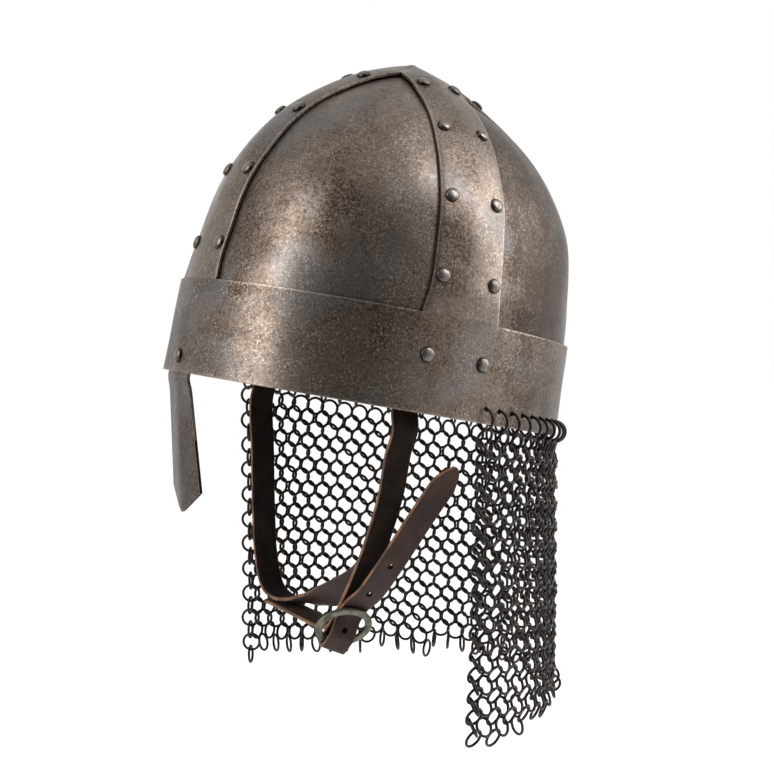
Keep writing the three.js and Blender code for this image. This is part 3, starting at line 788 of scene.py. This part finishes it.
def make_rivets():
    made = []
    seed = 100
    for name, middle, rows in SIDES:
        for number in range(rows):
            level, spacing = RIVET_ROWS[number]
            for hand in (-1, 1):
                turn = float(turn_at(middle, level, hand * spacing))
                point = surface(turn, level)
                holds_strap = number == 4 and abs(math.sin(middle)) > 0.5 and point[1] < 0
                reach = SHEET + SEAT + PLATE + (STRAP_CLEAR + LEATHER if holds_strap else 0) + 0.8
                letter = "a" if hand < 0 else "b"
                seed += 1
                u = hand * spacing / float(strip_half(level))
                lift = 0.0 if level < 1 else float(ridge_rise(np.array(u), np.array(level), name == "front"))
                axis = normal(turn, level)
                made.append(make_rivet(f"rivet_{name}_{number + 1}{letter}", point + axis * lift, axis,
                                       reach, seed))
    level = 9 / BAND_HEIGHT
    axis = normal(0.0, level)
    made.append(make_rivet("rivet_nasal", surface(0.0, level) + axis * 0.7, axis, SHEET + 3.8, 99))
    return made


# Mail: round rings in offset rows, each lapping its four neighbours, hung from the band by upright rings.
RING_RADIUS = 5.25
HANGER_RADIUS = 6.1
WIRE = 0.86
LINK = 9.25
NEAR_TURN = 102
FAR_TURN = 283.3
# Column pitch against turn: the curtain is stretched sideways where it meets the cheek.
PITCH_TURNS = (100, 145, 190, 226, 247, 270, 287)
PITCHES = (14.2, 14.2, 10.2, 9.8, 10.2, 9.3, 9.1)
FLOOR_TURNS = (100, 130, 180, 230, 287)
FLOORS = (-188, -184, -180, -177, -175)
MOST_ROWS = 34
# Degrees: how far the near edge swings out at the foot, and how rings lean in close and in stretched mail.
NEAR_SPREAD = 3.8
CLOSE_YAW = 22
STRETCHED_TILT = 23
UNEVEN = 2.4


def outward(turn):
    n = normal(turn, 0.0)
    flat = np.stack([n[..., 0], n[..., 1], 0 * n[..., 0]], -1)
    return unit(flat)


def ring_mesh(name, rings):
    """Joins rings, each (centre, across, up, radius), into one mesh."""
    around = 24
    sides = 8
    a = np.arange(around) * 2 * math.pi / around
    b = np.arange(sides) * 2 * math.pi / sides
    a, b = np.meshgrid(a, b, indexing="ij")
    i, j = np.meshgrid(np.arange(around), np.arange(sides), indexing="ij")

    def corner(di, dj):
        return ((i + di) % around * sides + (j + dj) % sides).ravel()

    quads = np.stack([corner(0, 0), corner(1, 0), corner(1, 1), corner(0, 1)], 1)
    points = []
    for centre, across, up, radius in rings:
        axis = np.cross(across, up)
        r = radius + WIRE * np.cos(b)
        p = (centre + (r * np.cos(a))[..., None] * across + (r * np.sin(a))[..., None] * up
             + (WIRE * np.sin(b))[..., None] * axis)
        points.append(p.reshape(-1, 3))
    size = around * sides
    faces = (np.arange(len(rings))[:, None, None] * size + quads[None]).reshape(-1, 4)
    obj = new_object(name, np.concatenate(points), faces, [MATERIALS["mail"]])
    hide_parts("mail_aventail")
    return obj


def column_path():
    """Column number against turn along the rim, with the pitch closing up towards the far side."""
    turns = np.linspace(math.radians(NEAR_TURN), math.radians(FAR_TURN), 3000)
    p = to_world(surface(turns, 0.0))
    flat = p[:, :2]
    steps = np.linalg.norm(np.diff(flat, axis=0), axis=1)
    pitch = np.interp(np.degrees(turns), PITCH_TURNS, PITCHES)
    columns = np.concatenate([[0], np.cumsum(steps / pitch[:-1])])
    whole = round(columns[-1])
    return turns, columns * whole / columns[-1], pitch * columns[-1] / whole, whole


def mail_rings():
    """Every ring of the curtain with the turn at which it hangs."""
    rng = np.random.default_rng(11)
    turns, columns, pitches, whole = column_path()
    rings = []
    for row in range(MOST_ROWS):
        even = row % 2 == 0
        places = np.arange(0, whole + 1) if even else np.arange(-0.5, whole + 0.6)
        for column in places:
            edge_near = column < 0
            edge_far = column > whole - 0.1
            turn = float(np.interp(max(column, 0), columns, turns))
            pitch = float(np.interp(turn, turns, pitches))
            height = math.sqrt(LINK ** 2 - (pitch / 2) ** 2)
            hole = to_world(surface(turn, hole_level))
            top = hole[2] - 2 * HANGER_RADIUS + 2 * WIRE - RING_RADIUS + 0.2
            z = top - row * height
            floor = float(np.interp(math.degrees(turn), FLOOR_TURNS, FLOORS))
            if z - RING_RADIUS < floor - 1.5:
                continue
            last = z - RING_RADIUS - height < floor - 1.5
            drop = (top - z) / (top - floor)
            spread = -math.radians(NEAR_SPREAD) * drop * np.clip((2.6 - turn) / 0.9, 0, 1)
            centre = to_world(surface(turn + spread, 0.0))
            n = outward(turn)
            t = np.array([-n[1], n[0], 0])
            centre = centre - 0.7 * n
            centre[2] = z
            if edge_near:
                centre = centre - 0.6 * t
            if edge_far and not even:
                centre = centre + 0.6 * t
            weave = smoothstep(pitch, 13.9, 12.2)
            yaw = math.radians(CLOSE_YAW) * weave * (1 if even else -1)
            tilt = math.radians(STRETCHED_TILT) * (1 - weave) * (1 if even else -1)
            if last and weave > 0.5:
                yaw = math.radians(rng.uniform(72, 104))
            if edge_far:
                yaw = math.radians(40 if even else -46)
            if edge_near:
                yaw = math.radians(rng.uniform(-60, -44))
            yaw += math.radians(rng.normal(0, UNEVEN))
            tilt += math.radians(rng.normal(0, UNEVEN))
            centre = centre + rng.normal(0, 0.14, 3)
            across = t * math.cos(yaw) + n * math.sin(yaw)
            axis = np.cross(across, (0, 0, 1))
            up = np.array([0, 0, 1]) * math.cos(tilt) + axis * math.sin(tilt)
            rings.append((math.degrees(turn), (centre, across, up, RING_RADIUS)))
    return rings


def hanger_rings():
    rng = np.random.default_rng(12)
    rings = []
    for turn in hanger_turns:
        hole = to_world(surface(turn, hole_level) - normal(turn, hole_level) * SHEET / 2)
        n = outward(turn)
        t = np.array([-n[1], n[0], 0])
        swing = math.radians(rng.normal(0, 5))
        across = n * math.cos(swing) + t * math.sin(swing)
        centre = hole - np.array([0, 0, HANGER_RADIUS - 0.35])
        rings.append((centre, across, np.array([0.0, 0.0, 1.0]), HANGER_RADIUS))
    return rings


def make_mail():
    rings = mail_rings()
    parts = []
    for name, low, high in (("mail_near", 0, 152), ("mail_nape", 152, 228), ("mail_far", 228, 400)):
        chosen = [ring for turn, ring in rings if low <= turn < high]
        parts.append(ring_mesh(name, chosen))
    parts.append(ring_mesh("mail_hanger_rings", hanger_rings()))
    return parts


# Buckle and straps.
RING_FACE = unit(np.array([0.867, -0.206, -0.454]))
RING_LONG = np.array([0.23, 0.97, 0.05])
RING_LONG = unit(RING_LONG - RING_FACE * (RING_LONG @ RING_FACE))
RING_UP = np.cross(RING_FACE, RING_LONG)
BUCKLE_CENTRE = np.array([40, -30, -123.7])


def on_ring(along, up, out):
    return BUCKLE_CENTRE + RING_LONG * along + RING_UP * up + RING_FACE * out


def on_strap(along, out):
    """A place where the strap threads the buckle: along the strap, and out from the frame's middle."""
    return on_ring(0.459 * along + 0.8, 0.888 * along - 0.4, out)


def make_buckle():
    around = 72
    section = [(0.06, 0.8), (0.16, 1.0), (0.5, 1.12), (0.84, 1.0), (0.96, 0.72), (1.0, 0.2), (1.0, -0.5),
               (0.9, -0.95), (0.5, -1.0), (0.1, -0.95), (0.0, -0.5), (0.0, 0.3)]
    points = []
    for k in range(around):
        a = 2 * math.pi * k / around
        c, s = math.cos(a), math.sin(a)
        for share, out in section:
            x = lerp(12.4, 16.5, share) * c
            y = lerp(9, 13.3, share) * s
            points.append(on_ring(x, y, 1.2 * out))
    sides = len(section)
    faces = []
    for k in range(around):
        for j in range(sides):
            n = (k + 1) % around
            m = (j + 1) % sides
            faces.append([k * sides + m, n * sides + m, n * sides + j, k * sides + j])
    obj = new_object("buckle_ring", np.array(points), faces, [MATERIALS["buckle"]])
    smooth_by_angle(obj, 60)
    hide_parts("buckle")
    return obj


def catmull(points, t):
    """A centripetal Catmull-Rom curve through points, at positions t from 0 to the last point's number."""
    points = np.asarray(points, float)
    count = len(points)
    padded = np.vstack([2 * points[0] - points[1], points, 2 * points[-1] - points[-2]])
    result = []
    for position in t:
        i = min(int(position), count - 2)
        w = position - i
        p0, p1, p2, p3 = padded[i:i + 4]
        d0, d1, d2 = (max(np.linalg.norm(b - a) ** 0.5, 1e-4) for a, b in ((p0, p1), (p1, p2), (p2, p3)))
        m1 = ((p1 - p0) / d0 - (p2 - p0) / (d0 + d1) + (p2 - p1) / d1) * d1
        m2 = ((p2 - p1) / d1 - (p3 - p1) / (d1 + d2) + (p3 - p2) / d2) * d1
        w2, w3 = w * w, w * w * w
        result.append((2 * w3 - 3 * w2 + 1) * p1 + (w3 - 2 * w2 + w) * m1
                      + (3 * w2 - 2 * w3) * p2 + (w3 - w2) * m2)
    return np.array(result)


def make_strap(name, points, widths, half_at):
    """A flat strap with rounded edges along a curve."""
    steps = 7
    count = (len(points) - 1) * steps + 1
    t = np.linspace(0, len(points) - 1, count)
    middle = catmull(points, t)
    k = np.minimum(t.astype(int), len(points) - 2)
    w = np.asarray(widths, float)
    width = unit(lerp(w[k], w[k + 1], smoothstep(t - k, 0, 1)[:, None]))
    along = unit(np.gradient(middle, axis=0))
    face = unit(np.cross(width, along))
    width = np.cross(along, face)
    length = np.concatenate([[0], np.cumsum(np.linalg.norm(np.diff(middle, axis=0), axis=1))])
    thick = LEATHER / 2
    soft = 0.45
    section = []
    for x in np.linspace(-1, 1, 7):
        section.append((x, 0.0, 1))
    section.append((1, soft * 0.75, 0.72))
    section.append((1, soft, 0.25))
    section.append((1, soft, -0.25))
    section.append((1, soft * 0.75, -0.72))
    for x in np.linspace(1, -1, 7):
        section.append((x, 0.0, -1))
    section.append((-1, -soft * 0.75, -0.72))
    section.append((-1, -soft, -0.25))
    section.append((-1, -soft, 0.25))
    section.append((-1, -soft * 0.75, 0.72))
    half = np.array([half_at(x) for x in t])
    rows = []
    for share, extra, out in section:
        aside = share * (half - soft) + extra
        rows.append(middle + width * aside[:, None] + face * (out * thick))
    grid = np.array(rows).transpose(1, 0, 2)
    size = len(section)
    uv = np.zeros((count, size, 2))
    uv[..., 0] = [share * 8 + out * 1.5 for share, _, out in section]
    uv[..., 1] = length[:, None]
    # Smooth leather outside, raw edges, flesh side inside, and the raw ends.
    index = ([0] * 6 + [1] * 5 + [2] * 6 + [1] * 5) * (count - 1) + [1, 1]
    faces = loop_faces(count, size)
    faces.append(list(reversed(range(size))))
    faces.append([(count - 1) * size + j for j in range(size)])
    materials = [MATERIALS[key] for key in ("leather", "raw", "flesh")]
    obj = new_object(name, grid.reshape(-1, 3), faces, materials, uv.reshape(-1, 2))
    obj.data.polygons.foreach_set("material_index", index)
    smooth_by_angle(obj, 55)
    return obj


def hidden_end(hand, rim_y, rivet_y):
    """Points of a strap's riveted end, inside the plate and the band."""
    points = []
    for z in (41, 31.4, 20, 9, 0):
        clear = 1.5 * float(smoothstep(-z, -20, -9))
        depth = SHEET + SEAT + PLATE + STRAP_CLEAR + LEATHER / 2 + clear
        level = z / BAND_HEIGHT
        y = lerp(rim_y, rivet_y, z / 31.4)
        turn = float(turn_at(hand * math.pi / 2, level, hand * y))
        points.append(to_world(surface(turn, level) - normal(turn, level) * depth))
    return points


ACROSS = (0, 1, 0)
SLANT = (0.004, 0.912, -0.406)
LEAN = (0.35, 0.4, -0.85)


def make_left_strap():
    """Down to the buckle, round its lower bar and up again as the punched, pointed tail."""
    hidden = [(p, ACROSS) for p in hidden_end(1, -22.2, -17.8)]
    table = hidden + [
        ((97.5, -21.6, -6), ACROSS),
        ((90, -21.9, -20.1), ACROSS),
        ((80, -20.9, -43.1), ACROSS),
        ((66, -21.7, -69.9), ACROSS),
        ((51, -22.2, -92), ACROSS),
        (on_strap(6, -6.4), (0, 1, -0.1)),
        (on_strap(-2, -5), (0, 0.97, -0.25)),
        (on_strap(-8, -3.7), SLANT),
        (on_strap(-13.3, -3), SLANT),
        (on_strap(-15.2, -2.2), SLANT),
        (on_strap(-16, 0), SLANT),
        (on_strap(-15.2, 2.2), SLANT),
        (on_strap(-13.3, 3), SLANT),
        (on_strap(-8.5, 3.2), SLANT),
        (on_strap(-5, 3), SLANT),
        (on_strap(-1.5, 1), SLANT),
        (on_strap(2.5, -1.5), SLANT),
        (on_strap(6, -2.9), SLANT),
        (on_strap(14.5, -2.8), SLANT),
        ((53.5, -20.8, -103.8), SLANT),
        ((69, -15.4, -84.8), SLANT),
        ((84, -3.5, -56), SLANT),
        ((93, 4.5, -38.5), SLANT),
        ((96, 8.6, -31.6), SLANT),
        ((97, 10.1, -28.3), SLANT),
    ]
    last = len(table) - 1

    def half(position):
        return float(np.interp(position, (last - 2, last - 1, last), (STRAP_HALF, 4.6, 1.4)))

    obj = make_strap("strap_left_leather", [p for p, _ in table], [w for _, w in table], half)
    centres = [np.array((55, -21.4, -103.3)), np.array((68.8, -15.5, -85)), on_strap(-1.2, 0.5)]
    cut_holes(obj, centres[:2], [RING_FACE] * 2, HOLE_RADIUS, 9)
    cut_holes(obj, centres[2:], [RING_FACE], HOLE_RADIUS, 5)
    smooth_by_angle(obj, 55)
    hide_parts("strap_left")
    return obj


def make_right_strap():
    """Down, under the chin, up behind the left strap, then doubled back behind the buckle."""
    hidden = [(p, ACROSS) for p in hidden_end(-1, -20.4, -17.8)]
    table = hidden + [
        ((-97.6, -20.5, -6), ACROSS),
        ((-97.6, -19.9, -38), ACROSS),
        ((-97.6, -19.3, -80), ACROSS),
        ((-95, -19, -106), ACROSS),
        ((-86.5, -18.6, -123.5), ACROSS),
        ((-70.2, -18.2, -128.3), (0.02, 1, -0.04)),
        ((-53.2, -18, -127), (0.06, 0.98, -0.12)),
        ((-29.5, -17.4, -122.6), (0.15, 0.85, -0.4)),
        ((8.4, -18.6, -110.4), LEAN),
        ((28.5, -15, -99.8), LEAN),
        ((36, -13.8, -94.2), (0.3, 0.6, -0.7)),
        ((40, -14.5, -92), (0.2, 0.8, -0.5)),
        ((41.2, -16, -94.5), (0.1, 0.9, -0.3)),
        ((38.4, -17.8, -99), ACROSS),
        ((29, -20.5, -115), ACROSS),
        ((20, -21, -125.5), ACROSS),
        ((8, -20.6, -131), ACROSS),
        ((-7, -20, -132.2), ACROSS),
        ((-50, -20, -131.6), ACROSS),
        ((-78, -20, -131.4), ACROSS),
    ]
    obj = make_strap("strap_right_leather", [p for p, _ in table], [w for _, w in table],
                     lambda position: STRAP_HALF)
    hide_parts("strap_right")
    return obj


# Assembly.
def ride_all(pieces):
    for piece in pieces:
        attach(piece, "root")


shell = make_shell()
finish_shell(shell)
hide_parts("brow_band", "spangen_front", "spangen_left", "spangen_back", "spangen_right",
            "nasal_guard")
ride_all([shell])
plates = [make_plate(front, flank) for front, flank in ((0, 1), (0, 3), (2, 1), (2, 3))]
ride_all(plates)
ride_all(make_rivets())
ride_all(make_mail())
ride_all([make_buckle()])
ride_all([make_left_strap(), make_right_strap()])


# Stage: pale floor, soft lights and a white surround.
TOWARD_CAMERA = (0.8813, -0.4655, 0.0821)
CAMERA_PLACE = (0.8527, -0.4314, 0.0863)
CAMERA_TURN = 62.16
LENS = 74.758
SENSOR = 36


def add_sheet(name, half_wide, half_high, material):
    """A flat rectangle for the stage."""
    mesh = bpy.data.meshes.new(name)
    x, y = half_wide, half_high
    mesh.from_pydata([(-x, -y, 0), (x, -y, 0), (x, y, 0), (-x, y, 0)], [], [(0, 1, 2, 3)])
    mesh.materials.append(material)
    obj = bpy.data.objects.new(name, mesh)
    bpy.context.scene.collection.objects.link(obj)
    return obj


def make_stage():
    white = Tree("floor_white").finish(Base_Color=(0.95, 0.95, 0.95, 1), Roughness=0.9,
                                       Emission_Color=(1, 1, 1, 1), Emission_Strength=0.07)
    floor = add_sheet("floor", 6, 6, white)
    floor.location = (0, 0, -0.6)
    # A black card behind the camera keeps the steel that faces it dark, as in a studio.
    black = Tree("card_black").finish(Base_Color=(0.01, 0.01, 0.01, 1), Roughness=0.9)
    card = add_sheet("dark_card", 1.3, 1.5, black)
    toward = Vector((0.8813, -0.4655, 0.05)).normalized()
    card.matrix_world = Matrix.Translation(toward * 1.5) @ toward.to_track_quat("Z", "Y").to_matrix().to_4x4()
    card.visible_camera = False
    card.visible_diffuse = False
    card.visible_shadow = False
    world = bpy.data.worlds.new("studio")
    world.use_nodes = True
    background = world.node_tree.nodes["Background"]
    background.inputs["Color"].default_value = (1, 1, 1, 1)
    background.inputs["Strength"].default_value = 1.0
    bpy.context.scene.world = world


def add_light(name, place, aim, size, power):
    light = bpy.data.lights.new(name, "AREA")
    light.shape = "RECTANGLE"
    light.size, light.size_y = size
    light.energy = power
    obj = bpy.data.objects.new(name, light)
    obj.location = place
    obj.rotation_euler = (Vector(place) - Vector(aim)).to_track_quat("Z", "Y").to_euler()
    obj.visible_camera = False
    bpy.context.scene.collection.objects.link(obj)


def make_camera():
    data = bpy.data.cameras.new("camera")
    data.sensor_width = SENSOR
    data.lens = LENS
    obj = bpy.data.objects.new("camera", data)
    azimuth = math.radians(CAMERA_TURN)
    back = Vector(TOWARD_CAMERA).normalized()
    right = Vector((math.cos(azimuth), math.sin(azimuth), 0))
    up = back.cross(right).normalized()
    right = up.cross(back).normalized()
    basis = Matrix((right, up, back)).transposed().to_4x4()
    obj.matrix_world = Matrix.Translation(CAMERA_PLACE) @ basis
    bpy.context.scene.collection.objects.link(obj)
    bpy.context.scene.camera = obj


make_stage()
add_light("soft_front", (0.1, -1.5, 0.75), (0, 0, 0.05), (0.6, 1.3), 30)
add_light("soft_side", (0.9, 0.8, 1.1), (0, 0, 0.05), (0.3, 1.0), 20)
add_light("soft_back", (0.6, 1.5, 0.6), (0, 0, 0.05), (0.9, 1.3), 22)
add_light("soft_top", (0, 0, 1.6), (0, 0, 0), (1.2, 1.2), 2)
make_camera()
bpy.context.scene.view_settings.view_transform = "Standard"
